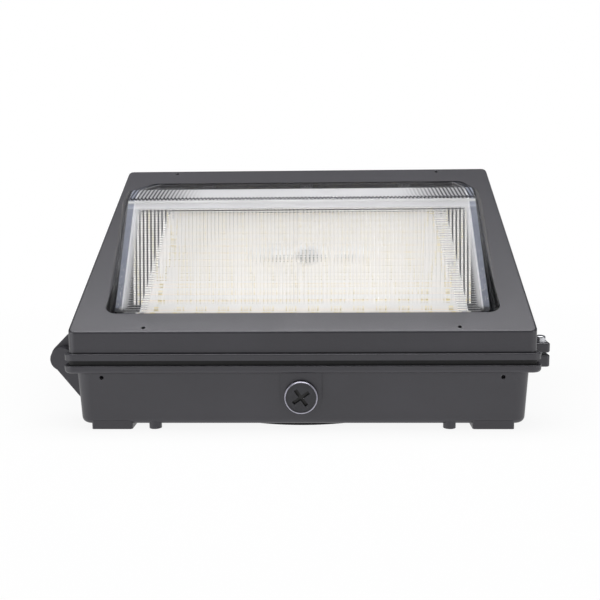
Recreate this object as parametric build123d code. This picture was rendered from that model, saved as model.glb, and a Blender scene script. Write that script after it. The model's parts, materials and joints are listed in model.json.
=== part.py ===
from build123d import *

import os
from math import atan2, cos, hypot, pi, radians, sin, tan

# Wall pack light: a cast back housing with a hinged, wedge-shaped door and a ribbed prismatic lens.
#
# Everything is drawn lying on its back, with X to the right, Y up along the wall and Z standing off
# the wall, and each piece is stood up against the wall at the end: +X right, +Z up, the wall at Y = 0
# and the light towards -Y. The origin is the centre of the four wall bolts, in the plane of the wall.
# Sizes are in millimetres and angles in degrees.

# ------------------------------------------------------------------ back housing
FLANGE_X = 361.0            # flange that the door closes on
FLANGE_Y = 236.0
FLANGE = 6.0
FLANGE_LOW = 45.0           # its underside, from the wall
FLANGE_CORNER = 8.0
FLANGE_EDGE = 2.4
OVERHANG_X = 9.9            # flange beyond the tub at the back panel
OVERHANG_Y = 7.0
TUB_CORNER = 9.0
TUB_DRAFT = 3.4
TUB_EDGE = 5.0              # rounding between back panel and walls
WALL = 3.0
PANEL = 3.0
BOLT_INSET_X = 24.6         # wall bolts, in from the tub's sides
BOLT_INSET_Y = 10.0
BOLT_R = 3.25
PAD_HEIGHT = 3.7            # mounting pads, from the wall to the back panel
PAD_X = 31.5
PAD_Y = 20.0
POST_INSET_X = 57.4
POST_INSET_Y = 5.0
POST_R = 4.8
WIRE_ENTRY_R = 11.1         # half-inch knockout over the wall box
RING_R = 100.0              # foam ring against the wall
RING_WIDTH = 12.0
RING = 3.0
WEEP_INSET = 18.6
WEEP_Z = 41.0
WEEP_R = 1.6
BOSS = 4.0                  # screw bosses on the back panel
BOSS_R = 4.2
BOSS_BORE = 1.7

# ------------------------------------------------------------------ door
GASKET_GAP = 4.0            # dark joint between flange and lip
LIP = 5.0
LIP_SET = 0.5               # lip set back from the flange at the sides
LIP_CORNER = 7.5
LEDGE = 3.0                 # lip beyond the skirt
SKIRT_CORNER = 6.0
SKIRT_DRAFT = 0.5
SHADOW_LINE = 0.9           # groove where the skirt meets the lip
NEAR_RISE = 16.4            # skirt from the lip to the lower edge of the sloped face
SLOPE = 28.0                # sloped face against the wall
DOOR_WALL = 3.0
FACE_EDGE = 2.2             # rounding of the face's outer edges
BORDER_X = 23.5             # face between the skirt's edge and the window
BORDER_NEAR = 23.6
BORDER_FAR = 28.5
WINDOW_CORNER = 10.0
FACE_HOLE_R = 1.5
FACE_HOLE_DEPTH = 2.2
FACE_HOLE_NEAR = (57.7, 5.5)    # in from the face's sides and ends
FACE_HOLE_FAR = (50.2, 9.5)

# ------------------------------------------------------------------ door gasket
GASKET_INSET_X = 3.0        # in from the flange's edge
GASKET_INSET_Y = 2.5
GASKET_WIDTH = 4.5
GASKET_SUNK = 1.5

# ------------------------------------------------------------------ hinge, on the left
HINGE_OUT = 9.0             # pin beyond the flange's edge
HINGE_UNDER = 0.8           # pin below the top of the flange
HINGE_NEAR = 29.0           # lower lug in from the flange's lower end
HINGE_FAR = 47.0            # upper lug in from its upper end
PIN_R = 2.5
PIN_SEAT = 0.02             # radial, pin in the housing lug
PIN_GAP = 0.07              # radial, pin in the door lug
PIN_FLOOR = 2.0             # housing lug under the pin's blind hole
HOUSING_EYE_R = 9.2
HOUSING_LUG = 8.0           # thickness along the wall
DOOR_EYE_R = 8.5
DOOR_EAR_R = 11.0
DOOR_LUG = 9.0
LUG_GAP = 0.4
GUSSET_FOOT = 14.0          # where the housing gusset runs out on the tub wall
DOOR_GUSSET = 45.0
CLIP_GAP = 1.0              # end play of the door lug under the retaining clip
CLIP_R = 4.6
CLIP = 0.8

# ------------------------------------------------------------------ closing screws, on the right
LATCH_OUT = 5.6             # screw beyond the flange's edge
LATCH_END = 6.6             # lug beyond the screw
LATCH_LENGTH = 16.0
LATCH_DROP = 1.8            # housing lug below the flange
LATCH_RISE = 1.5            # housing lug above the flange
LATCH_GAP = 2.0             # between the two lugs
DOOR_LATCH = 7.4
LATCH_CORNER = 3.0
LATCH_EDGE = 1.2
SCREW_R = 2.5
SCREW_GAP = 0.3             # radial, screw in its lugs and washer
SCREW_SHORT = 1.4           # screw end above the underside of the housing lug
SCREW_HEAD_R = 4.4
SCREW_HEAD = 3.8
RECESS_X = 4.4
RECESS_Y = 1.0
RECESS = 1.6
WASHER_R = 5.0
WASHER = 1.1

# ------------------------------------------------------------------ conduit entries
ENTRY_Z = 26.4              # half-inch straight thread, one below and one on each side
ENTRY_R = 10.5
ENTRY_PAD_R = 15.6
ENTRY_PROUD = 2.4
ENTRY_DEPTH = 12.0
ENTRY_BOSS_R = 14.4
THREAD_GAP = 0.3            # radial
PLUG_HEAD_R = 12.5
PLUG_HEAD = 2.6
PLUG_RIM = 1.5
PLUG_CHAMFER = 0.7
PLUG_DISH = 0.4
PLUG_SHANK = 8.3
PLUG_WALL = 2.5
SLOT_X = 14.7
SLOT_Y = 2.8
SLOT_DEPTH = 2.3
SLOT_TURN = 35.0
SEAL_R = 12.0
SEAL = 1.2

# ------------------------------------------------------------------ lens
GLASS = 3.2
LENS_FLANGE = 3.5
LENS_LAP = 7.0              # flange beyond the window
LENS_GASKET = 1.5
LENS_GASKET_IN = 1.0
LENS_GASKET_OUT = 6.0
LENS_FIT = 1.3              # between dome and window
RIDGE_RUN = 52.0            # ridge from the near edge of the window, along the face
RIDGE_V = 70.0              # ridge above the face
STRIP = 20.0                # narrow strip behind the ridge
STRIP_FALL = 4.8            # strip against the face
LENS_DRAFT = 10.8
LENS_SIDE_ROUND = 6.0
RIDGE_ROUND = 2.6
SHOULDER_ROUND = 9.0
FLUTE_PITCH = 2.9
FLUTE_DEPTH = 0.9
FLUTE_FACE = 1.6            # sloping face of a flute, the rest of the pitch is flat
FLUTE_STEP = 0.15           # draft of its steep side, away from the middle of the lens
FLUTE_MARGIN = 5.0          # plain glass beside the flutes
FLUTE_END = 3.0             # plain glass at their lower ends
CLIP_OUT = 4.4              # clip screw beyond the lens flange
CLIP_BOSS_R = 3.6
CLIP_X = 12.0
CLIP_REACH = 5.0            # clip over the lens flange
CLIP_PLATE = 1.5
CLIP_SPREAD = 95.0
CLIP_NEAR_U = 52.0          # side clips, in from the ends of the window
CLIP_FAR_U = 52.0
M3_R = 1.25
M3_HEAD_R = 2.8
M3_HEAD = 2.0
M3_GAP = 0.05

# ------------------------------------------------------------------ light engine
BOARD_INSET_X = 20.5        # board in from the window's sides
BOARD_INSET_NEAR = 8.4
BOARD_INSET_FAR = 6.0
BOARD_DROP = 24.4           # top of the board below the face
BOARD = 1.6
TRAY = 2.0
TRAY_MARGIN = 2.0
TRAY_LIP = 8.0
NEAR_FOOT = 12.0
FAR_FOOT = 8.4
TRAY_BEND = 2.0
TRAY_SCREW_X = 96.0
LED_X = 3.5
LED_Y = 2.8
LED_H = 0.8
LED_PITCH_X = 18.6
LED_PITCH_Y = 11.3
LED_MARGIN = 6.0
CONNECTOR_AT = (2.8, 110.7)     # from the board's centre line and its near edge
CONNECTOR_X = 18.0
CONNECTOR_Y = 20.0
CONNECTOR_H = 4.5
GROMMET_R = 7.0
GROMMET_NECK_R = 5.0
GROMMET_BORE_R = 3.6
GROMMET_LIP = 1.0

# ------------------------------------------------------------------ driver and wiring
DRIVER_X = 190.0
DRIVER_Y = 64.0
DRIVER_H = 38.0
DRIVER_INSET = 24.0         # driver below the upper tub wall
DRIVER_BASE = 2.5
DRIVER_EAR = 12.0
DRIVER_CAP = 3.0
DRIVER_BUSH_R = 3.4
DRIVER_BUSH = 3.0
DRIVER_SCREW_Y = 40.0
SUPPLY_BUSH_LOW = 15.0      # lead bushes below the driver's middle
SUPPLY_BUSH_PITCH = 12.0
OUTPUT_BUSH_LOW = 13.0
OUTPUT_BUSH_PITCH = 12.0
TERMINAL_LEFT = 70.0        # terminal block left of the middle and above the lower tub wall
TERMINAL_UP = 56.0
TERMINAL_X = 46.0
TERMINAL_Y = 20.0
TERMINAL_H = 16.0
TERMINAL_PORT = 14.0
TERMINAL_WELL_R = 2.4
TERMINAL_SEAT = 6.0
GROUND_RIGHT = 40.0         # ground screw
GROUND_UP = 49.0
GROUND_TURN = 125.0         # bearing of the ring terminal's barrel
RING_TERMINAL_R = 4.4
RING_TERMINAL = 0.8
BARREL_R = 1.9
BARREL_START = 4.0
BARREL_END = 11.0
LEAD_R = 1.1
LINE_RUN = 28.0             # leads out of the terminal block before they turn
NEUTRAL_RUN = 36.0
LINE_TURN = 33.0            # and before the driver's bushes
NEUTRAL_TURN = 25.0
GROUND_RUN = 25.0
GROUND_CREST = 13.0
GROUND_STEP = 30.5
GROUND_SAG = 1.5
GROUND_TAIL = 20.0
OUTPUT_RUN = 29.0
OUTPUT_LOOP = 36.0
OUTPUT_BACK = 32.0
OUTPUT_CREST = 23.0
OUTPUT_REACH = 46.0
OUTPUT_CLIMB = 5.0
OUTPUT_SPLIT = 2.0
PLUS_DROP = 30.0
MINUS_DROP = 38.0

# ------------------------------------------------------------------ derived sizes and places
FLANGE_TOP = FLANGE_LOW + FLANGE
PANEL_TOP = PAD_HEIGHT + PANEL
BOSS_TOP = PANEL_TOP + BOSS
TUB_X = FLANGE_X - 2 * OVERHANG_X
TUB_Y = FLANGE_Y - 2 * OVERHANG_Y
BOLT_X = TUB_X - 2 * BOLT_INSET_X
BOLT_Y = TUB_Y - 2 * BOLT_INSET_Y
LIP_LOW = FLANGE_TOP + GASKET_GAP
LIP_TOP = LIP_LOW + LIP
LIP_X = FLANGE_X - 2 * LIP_SET
LIP_Y = FLANGE_Y
SKIRT_X = LIP_X - 2 * LEDGE
SKIRT_Y = LIP_Y - 2 * LEDGE
NEAR_EDGE = LIP_TOP + NEAR_RISE
FACE = Plane(
    origin=(0, -SKIRT_Y / 2, NEAR_EDGE),
    x_dir=(1, 0, 0),
    z_dir=(0, -sin(radians(SLOPE)), cos(radians(SLOPE))),
)
FACE_LENGTH = SKIRT_Y / cos(radians(SLOPE))
WINDOW_NEAR = BORDER_NEAR
WINDOW_FAR = FACE_LENGTH - BORDER_FAR
WINDOW_X = SKIRT_X - 2 * BORDER_X
WINDOW_Y = WINDOW_FAR - WINDOW_NEAR
WINDOW_MID = (WINDOW_NEAR + WINDOW_FAR) / 2
LENS_TOP = -DOOR_WALL - LENS_GASKET
LENS_LOW = LENS_TOP - LENS_FLANGE
HINGE_X = -(FLANGE_X / 2 + HINGE_OUT)
HINGE_Z = FLANGE_TOP - HINGE_UNDER
LUG_Y = (-FLANGE_Y / 2 + HINGE_NEAR, FLANGE_Y / 2 - HINGE_FAR)
LATCH_X = FLANGE_X / 2 + LATCH_OUT
LATCH_END_X = LATCH_X + LATCH_END
LATCH_LOW = FLANGE_LOW - LATCH_DROP
LATCH_SPLIT = FLANGE_TOP + LATCH_RISE
DOOR_LATCH_LOW = LATCH_SPLIT + LATCH_GAP
DOOR_LATCH_TOP = DOOR_LATCH_LOW + DOOR_LATCH
BOARD_X = WINDOW_X - 2 * BOARD_INSET_X
BOARD_NEAR = WINDOW_NEAR + BOARD_INSET_NEAR
BOARD_FAR = WINDOW_FAR - BOARD_INSET_FAR
BOARD_LOW = -BOARD_DROP - BOARD
TRAY_LOW = BOARD_LOW - TRAY
CONNECTOR_U = BOARD_NEAR + CONNECTOR_AT[1]
DRIVER_MID = TUB_Y / 2 - DRIVER_INSET - DRIVER_Y / 2
DRIVER_END = DRIVER_X / 2 + DRIVER_CAP
TERMINAL_AT = (-TERMINAL_LEFT, -TUB_Y / 2 + TERMINAL_UP)
GROUND_AT = (GROUND_RIGHT, -TUB_Y / 2 + GROUND_UP)
REACH = 2 * (FLANGE_X + FLANGE_Y)       # clears everything, for cutting


# ------------------------------------------------------------------ helpers
def face_point(u, v):
    """Bench (y, z) of the point u along the slope and v above the face."""
    rise = radians(SLOPE)
    y = -SKIRT_Y / 2 + u * cos(rise) - v * sin(rise)
    z = NEAR_EDGE + u * sin(rise) + v * cos(rise)
    return y, z


def slab(width, length, height, corner, low, taper=0.0):
    """Round-cornered block standing at height low."""
    return Pos(0, 0, low) * extrude(RectangleRounded(width, length, corner), height, taper=taper)


def frame_ring(width, length, border, height, corner, low):
    """Rectangular ring standing at height low."""
    inner = RectangleRounded(width - 2 * border, length - 2 * border, max(corner - border, 0.8))
    return Pos(0, 0, low) * extrude(RectangleRounded(width, length, corner) - inner, height)


def disc(radius, height, low=0.0):
    """Cylinder standing at height low."""
    return Pos(0, 0, low) * Cylinder(radius, height, align=(Align.CENTER, Align.CENTER, Align.MIN))


def block(width, length, height, low=0.0):
    """Box standing at height low."""
    return Pos(0, 0, low) * Box(width, length, height, align=(Align.CENTER, Align.CENTER, Align.MIN))


def across(outline, low_y, thickness):
    """An (x, z) outline made thickness thick along the wall, from low_y up."""
    section = Plane(origin=(0, low_y, 0), x_dir=(1, 0, 0), z_dir=(0, -1, 0))
    return section * extrude(outline, thickness, dir=(0, 0, -1))


def sideways(outline, width):
    """A (y, z) outline made width wide about the middle."""
    section = Plane(origin=(0, 0, 0), x_dir=(0, 1, 0), z_dir=(1, 0, 0))
    return section * extrude(outline, width / 2, both=True)


def corners(width, length):
    return [(sx * width / 2, sy * length / 2) for sx in (-1, 1) for sy in (-1, 1)]


def pan_screw(shank_r, length, head_r, head):
    """Pan-head screw, its head standing on z = 0 and its shank below."""
    dome = disc(head_r, head)
    dome = fillet(dome.edges().group_by(Axis.Z)[-1], head * 0.45)
    return dome + disc(shank_r, length, -length)


def lead(points):
    """Insulated wire along straight runs joined by arcs as large as the runs allow."""
    route = [Vector(*p) for p in points]
    radii = []
    for before, at, after in zip(route, route[1:], route[2:]):
        turn = radians((at - before).get_angle(after - at))
        shorter = min((at - before).length, (after - at).length)
        radii.append(0.45 * shorter / tan(turn / 2))
    path = FilletPolyline(*route, radius=radii)
    start = Plane(origin=route[0], z_dir=route[1] - route[0])
    return sweep(start * Circle(LEAD_R), path=path)


# ------------------------------------------------------------------ back housing
def entry_planes():
    """Outer face of each conduit pad, its local z pointing out of the housing."""
    grown = (ENTRY_Z - PAD_HEIGHT) * tan(radians(TUB_DRAFT)) + ENTRY_PROUD
    side = TUB_X / 2 + grown
    low = TUB_Y / 2 + grown
    return {
        "bottom": Plane(origin=(0, -low, ENTRY_Z), x_dir=(1, 0, 0), z_dir=(0, -1, 0)),
        "left": Plane(origin=(-side, 0, ENTRY_Z), x_dir=(0, -1, 0), z_dir=(-1, 0, 0)),
        "right": Plane(origin=(side, 0, ENTRY_Z), x_dir=(0, 1, 0), z_dir=(1, 0, 0)),
    }


def conduit_pad():
    """U-shaped pad hanging from the flange round the entry."""
    rise = FLANGE_LOW - ENTRY_Z + FLANGE / 2
    outline = Circle(ENTRY_PAD_R) + Pos(0, rise / 2) * Rectangle(2 * ENTRY_PAD_R, rise)
    pad = extrude(outline, -(ENTRY_PROUD + WALL))
    return pad - Pos(0, rise, 0) * block(3 * ENTRY_PAD_R, 1, WALL, -WALL)


def housing_lug(low_y):
    """Hinge eye, bored from above, with its gusset running down to the tub wall."""
    wall_x = -TUB_X / 2 - (GUSSET_FOOT - PAD_HEIGHT) * tan(radians(TUB_DRAFT))
    away = hypot(HINGE_X - wall_x, HINGE_Z - GUSSET_FOOT)
    bearing = atan2(HINGE_Z - GUSSET_FOOT, HINGE_X - wall_x)
    swing = bearing + pi / 2 - atan2(HOUSING_EYE_R, (away**2 - HOUSING_EYE_R**2) ** 0.5)
    touch = (HINGE_X + HOUSING_EYE_R * cos(swing), HINGE_Z + HOUSING_EYE_R * sin(swing))
    inside = wall_x + WALL / 2
    gusset = Polygon(
        touch,
        (wall_x, GUSSET_FOOT),
        (inside, GUSSET_FOOT + WALL / 2),
        (inside, FLANGE_TOP - FLANGE / 2),
        (HINGE_X, FLANGE_TOP - FLANGE / 2),
        (HINGE_X, HINGE_Z),
        align=None,
    )
    outline = Pos(HINGE_X, HINGE_Z) * Circle(HOUSING_EYE_R) + gusset
    return across(outline, low_y, HOUSING_LUG) - hinge_axis(low_y) * disc(PIN_R + PIN_SEAT, HOUSING_LUG, PIN_FLOOR)


def latch_lug(low_y, low, high, root_x):
    """Closing-screw lug with its free end rounded."""
    middle = (root_x + LATCH_END_X) / 2
    lug = block(LATCH_END_X - root_x, LATCH_LENGTH, high - low, low)
    lug = Pos(middle, low_y + LATCH_LENGTH / 2, 0) * lug
    lug = fillet(lug.edges().filter_by(Axis.Z).group_by(Axis.X)[-1], LATCH_CORNER)
    levels = lug.edges().group_by(Axis.Z)
    rims = [edge for edge in levels[0] + levels[-1] if edge.center().X > root_x + LATCH_EDGE]
    return fillet(rims, LATCH_EDGE)


def latch_bore(low_y):
    centre = low_y + LATCH_LENGTH / 2
    return Pos(LATCH_X, centre, 0) * disc(SCREW_R + SCREW_GAP, REACH)


def tray_corner(u):
    """Bench (y, z) of a bend of the tray, on the middle of its sheet."""
    return face_point(u, TRAY_LOW + TRAY / 2)


def tray_screw_places():
    near = tray_corner(BOARD_NEAR - TRAY_MARGIN)[0] - NEAR_FOOT * 0.6
    far = tray_corner(BOARD_FAR + TRAY_MARGIN)[0] + FAR_FOOT - M3_HEAD_R - 0.2
    return [(sx * TRAY_SCREW_X, y) for sx in (-1, 1) for y in (near, far)]


def driver_screw_places():
    x = DRIVER_X / 2 + DRIVER_CAP + DRIVER_EAR / 2
    return [(sx * x, DRIVER_MID + sy * DRIVER_SCREW_Y / 2) for sx in (-1, 1) for sy in (-1, 1)]


def terminal_screw_places():
    return [(TERMINAL_AT[0] + sx * TERMINAL_PORT / 2, TERMINAL_AT[1]) for sx in (-1, 1)]


def gasket_ring(low, height):
    width = FLANGE_X - 2 * GASKET_INSET_X
    length = FLANGE_Y - 2 * GASKET_INSET_Y
    return frame_ring(width, length, GASKET_WIDTH, height, FLANGE_CORNER - GASKET_INSET_Y, low)


def back_housing():
    tub = slab(TUB_X, TUB_Y, FLANGE_LOW - PAD_HEIGHT + 1, TUB_CORNER, PAD_HEIGHT, -TUB_DRAFT)
    tub = fillet(tub.edges().group_by(Axis.Z)[0], TUB_EDGE)
    flange = slab(FLANGE_X, FLANGE_Y, FLANGE, FLANGE_CORNER, FLANGE_LOW)
    flange = fillet(flange.edges().group_by(Axis.Z)[0], FLANGE_EDGE)
    flange = fillet(flange.edges().group_by(Axis.Z)[-1], FLANGE_EDGE / 3)
    body = tub + flange
    for x, y in corners(BOLT_X, BOLT_Y):
        body += Pos(x, y, 0) * slab(PAD_X, PAD_Y, PANEL_TOP, PAD_HEIGHT / 2, 0)
    for x, y in corners(TUB_X - 2 * POST_INSET_X, TUB_Y - 2 * POST_INSET_Y):
        body += Pos(x, y, 0) * disc(POST_R, PANEL_TOP)
    ring_low = RING_R - RING_WIDTH - 2
    body += disc(RING_R + 2, PANEL_TOP - RING, RING) - disc(ring_low, PAD_HEIGHT - RING, RING)
    for plane in entry_planes().values():
        body += plane * conduit_pad()
    cavity_x = TUB_X - 2 * WALL
    cavity_y = TUB_Y - 2 * WALL
    cavity = slab(cavity_x, cavity_y, FLANGE_TOP, TUB_CORNER - WALL, PANEL_TOP, -TUB_DRAFT)
    cavity = fillet(cavity.edges().group_by(Axis.Z)[0], WALL / 2)
    body -= cavity
    for plane in entry_planes().values():
        body += plane * disc(ENTRY_BOSS_R, ENTRY_DEPTH - 1, -ENTRY_DEPTH)
        body -= plane * disc(ENTRY_R, ENTRY_DEPTH + 2, -ENTRY_DEPTH - 1)
    bosses = tray_screw_places() + driver_screw_places() + terminal_screw_places() + [GROUND_AT]
    for x, y in bosses:
        body += Pos(x, y, 0) * disc(BOSS_R, BOSS + 1, PANEL_TOP - 1)
        body -= Pos(x, y, 0) * disc(BOSS_BORE, BOSS + 1, PANEL_TOP)
    for low_y in LUG_Y:
        body += housing_lug(low_y)
        body += latch_lug(low_y, LATCH_LOW, LATCH_SPLIT, LIP_X / 2 + LUG_GAP)
        body += latch_lug(low_y, LATCH_LOW, FLANGE_TOP, TUB_X / 2)
        body -= latch_bore(low_y)
    for x, y in corners(BOLT_X, BOLT_Y):
        body -= Pos(x, y, 0) * disc(BOLT_R, PANEL_TOP + 2, -1)
    body -= disc(WIRE_ENTRY_R, PANEL_TOP + 2, -1)
    for x in (WEEP_INSET - TUB_X / 2, TUB_X / 2 - WEEP_INSET):
        weep = Plane(origin=(x, -FLANGE_Y / 2, WEEP_Z), x_dir=(1, 0, 0), z_dir=(0, 1, 0))
        body -= weep * disc(WEEP_R, OVERHANG_Y + 2 * WALL)
    return body - gasket_ring(FLANGE_TOP - GASKET_SUNK, GASKET_SUNK + 1)


def wall_gasket():
    return disc(RING_R, RING) - disc(RING_R - RING_WIDTH, RING)


def door_gasket():
    return gasket_ring(FLANGE_TOP - GASKET_SUNK, GASKET_SUNK + GASKET_GAP)


# ------------------------------------------------------------------ hinge
def hinge_axis(low_y):
    """Plane on the hinge axis whose local z runs up the wall."""
    return Plane(origin=(HINGE_X, low_y, HINGE_Z), x_dir=(1, 0, 0), z_dir=(0, 1, 0))


def clip_place():
    """Height of the retaining clip above the lower face of the housing lug."""
    return HOUSING_LUG + LUG_GAP + DOOR_LUG + CLIP_GAP


def hinge_pin(low_y):
    """Dowel pin in the blind hole of the housing lug, with a groove near its upper end."""
    pin = disc(PIN_R, clip_place() + 2.5 * CLIP - PIN_FLOOR, PIN_FLOOR)
    pin = chamfer(pin.edges().group_by(Axis.Z)[-1], PIN_R / 6)
    groove = disc(PIN_R + 1, 1.2 * CLIP, clip_place()) - disc(0.8 * PIN_R, 1.2 * CLIP, clip_place())
    return hinge_axis(low_y) * (pin - groove)


def hinge_clip(low_y):
    """Retaining clip, open on one side."""
    clip = disc(CLIP_R, CLIP) - disc(0.8 * PIN_R + PIN_SEAT, CLIP)
    clip -= Pos(CLIP_R / 2, 0, 0) * block(CLIP_R, 1.1 * PIN_R, CLIP)
    return hinge_axis(low_y) * (Pos(0, 0, clip_place() + 0.1 * CLIP) * clip)


def door_lug(low_y):
    """Door eye with an ear and a gusset that rises to the skirt."""
    wall_x = -SKIRT_X / 2 + DOOR_WALL / 2
    rise = radians(DOOR_GUSSET)
    start = (HINGE_X - DOOR_EAR_R * sin(rise), HINGE_Z + DOOR_EAR_R * cos(rise))
    top = (wall_x, start[1] + (wall_x - start[0]) * tan(rise))
    over_flange = FLANGE_TOP + GASKET_GAP / 4
    clear_x = -FLANGE_X / 2 - LUG_GAP
    eye = Pos(HINGE_X, HINGE_Z) * Circle(DOOR_EYE_R)
    upper_left = Pos(clear_x - DOOR_EAR_R, HINGE_Z + DOOR_EAR_R / 2)
    ear = Pos(HINGE_X, HINGE_Z) * Circle(DOOR_EAR_R)
    ear &= upper_left * Rectangle(2 * DOOR_EAR_R, DOOR_EAR_R)
    beside_lip = -LIP_X / 2
    gusset = Polygon(
        start,
        top,
        (wall_x, LIP_LOW),
        (beside_lip, LIP_LOW),
        (beside_lip, over_flange),
        (HINGE_X, over_flange),
        align=None,
    )
    outline = eye + ear + gusset
    outline -= Pos(HINGE_X, HINGE_Z) * Circle(PIN_R + PIN_GAP)
    return across(outline, low_y + HOUSING_LUG + LUG_GAP, DOOR_LUG)


# ------------------------------------------------------------------ door
def wedge(inset, low):
    """Body under the sloped face, each side drawn in by inset."""
    height = NEAR_EDGE + FACE_LENGTH * sin(radians(SLOPE)) + SKIRT_CORNER
    corner = max(SKIRT_CORNER - inset, 1.0)
    solid = slab(SKIRT_X - 2 * inset, SKIRT_Y - 2 * inset, height - low, corner, low, SKIRT_DRAFT)
    outside = Pos(0, FACE_LENGTH / 2, REACH / 2 - inset) * Box(REACH, REACH, REACH)
    return solid - FACE * outside


def clip_places():
    """(x, u) of each lens clip's screw and the bearing in which the clip points."""
    out = LENS_LAP + CLIP_OUT
    near = [(x, WINDOW_NEAR - out, 90) for x in (-CLIP_SPREAD, 0, CLIP_SPREAD)]
    far = [(x, WINDOW_FAR + out, -90) for x in (-CLIP_SPREAD, 0, CLIP_SPREAD)]
    side = WINDOW_X / 2 + out
    rows = (WINDOW_NEAR + CLIP_NEAR_U, WINDOW_FAR - CLIP_FAR_U)
    left = [(-side, u, 0) for u in rows]
    right = [(side, u, 180) for u in rows]
    return near + far + left + right


def face_hole_places():
    near_x = SKIRT_X / 2 - FACE_HOLE_NEAR[0]
    far_x = SKIRT_X / 2 - FACE_HOLE_FAR[0]
    far_u = FACE_LENGTH - FACE_HOLE_FAR[1]
    near = [(-near_x, FACE_HOLE_NEAR[1]), (near_x, FACE_HOLE_NEAR[1])]
    return near + [(-far_x, far_u), (far_x, far_u)]


def door_frame():
    body = wedge(0, LIP_TOP - 1)
    body = fillet(body.faces().sort_by(Axis.Z)[-1].edges(), FACE_EDGE)
    lip = slab(LIP_X, LIP_Y, LIP, LIP_CORNER, LIP_LOW)
    body += fillet(lip.edges().group_by(Axis.Z)[-1], LEDGE / 3)
    body -= frame_ring(SKIRT_X + 2, SKIRT_Y + 2, 1 + SHADOW_LINE, SHADOW_LINE, SKIRT_CORNER, LIP_TOP)
    for low_y in LUG_Y:
        body += door_lug(low_y)
        body += latch_lug(low_y, DOOR_LATCH_LOW, DOOR_LATCH_TOP, LIP_X / 2 - LEDGE / 3)
        body += latch_lug(low_y, LIP_TOP - 1, DOOR_LATCH_TOP, SKIRT_X / 2 - DOOR_WALL / 2)
        body -= Pos(0, 0, LATCH_SPLIT) * latch_bore(low_y)
    body -= wedge(DOOR_WALL, LIP_LOW - 1)
    window = extrude(RectangleRounded(WINDOW_X, WINDOW_Y, WINDOW_CORNER), 3 * DOOR_WALL)
    body -= FACE * (Pos(0, WINDOW_MID, -1.5 * DOOR_WALL) * window)
    for x, u, _ in clip_places():
        body += FACE * (Pos(x, u, 0) * disc(CLIP_BOSS_R, -LENS_LOW - DOOR_WALL / 2, LENS_LOW))
        body -= FACE * (Pos(x, u, 0) * disc(M3_R + M3_GAP, LENS_FLANGE + LENS_GASKET, LENS_LOW))
    for x, u in face_hole_places():
        body -= FACE * (Pos(x, u, 0) * disc(FACE_HOLE_R, 2 * DOOR_WALL, -FACE_HOLE_DEPTH))
    return body


# ------------------------------------------------------------------ lens
def meet(first, second):
    """Where two lines cross, each given by a point and a bearing."""
    (p, a), (q, b) = first, second
    span = cos(a) * sin(b) - sin(a) * cos(b)
    along = ((q[0] - p[0]) * sin(b) - (q[1] - p[1]) * cos(b)) / span
    return p[0] + along * cos(a), p[1] + along * sin(a)


def lens_profile(inset):
    """Side outline of the dome as (u, v): foot of the facet, ridge, shoulder, foot of the front."""
    near = (WINDOW_NEAR + LENS_FIT, 0.0)
    far = (WINDOW_FAR - LENS_FIT, 0.0)
    fall = radians(STRIP_FALL)
    ridge = (WINDOW_NEAR + RIDGE_RUN, RIDGE_V)
    shoulder = (ridge[0] + STRIP * cos(fall), ridge[1] - STRIP * sin(fall))
    facet = atan2(ridge[1] - near[1], ridge[0] - near[0])
    front = atan2(far[1] - shoulder[1], far[0] - shoulder[0])
    skins = []
    for point, bearing in ((near, facet), (ridge, -fall), (far, front)):
        inward = (point[0] + inset * sin(bearing), point[1] - inset * cos(bearing))
        skins.append((inward, bearing))
    base = ((0.0, LENS_LOW), 0.0)
    foot = meet(skins[0], base)
    toe = meet(skins[2], base)
    return foot, meet(skins[0], skins[1]), meet(skins[1], skins[2]), toe


def lens_half(v, inset):
    """Half width of the dome at height v above the face."""
    drawn = inset / cos(radians(LENS_DRAFT))
    return WINDOW_X / 2 - LENS_FIT - drawn - v * tan(radians(LENS_DRAFT))


def crests(solid):
    """Edges of the dome that run across it near its top."""
    return [e for e in solid.edges().filter_by(Axis.X) if e.center().Z > RIDGE_V / 2]


def lens_dome(inset):
    """Outside of the dome for no inset, its hollow for an inset of the glass thickness."""
    prism = sideways(Polygon(*lens_profile(inset), align=None), WINDOW_X)
    top = RIDGE_V + LENS_FLANGE
    wide = lens_half(LENS_LOW, inset)
    narrow = lens_half(top, inset)
    section = Polygon((-wide, LENS_LOW), (wide, LENS_LOW), (narrow, top), (-narrow, top), align=None)
    solid = prism & across(section, 0, WINDOW_FAR + WINDOW_NEAR)
    solid = fillet(max(crests(solid), key=lambda e: e.center().Y), SHOULDER_ROUND - inset)
    along_x = solid.edges().filter_by(Axis.X)
    arrises = [e for e in solid.edges() - along_x if e.bounding_box().max.Z > 0]
    solid = fillet(arrises, LENS_SIDE_ROUND - inset)
    if inset < RIDGE_ROUND:
        solid = fillet(min(crests(solid), key=lambda e: e.center().Y), RIDGE_ROUND - inset)
    plan = slab(
        WINDOW_X - LENS_FIT - 2 * inset,
        WINDOW_Y - LENS_FIT - 2 * inset,
        top - LENS_LOW,
        WINDOW_CORNER - inset,
        LENS_LOW,
    )
    return solid & Pos(0, WINDOW_MID, 0) * plan


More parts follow.
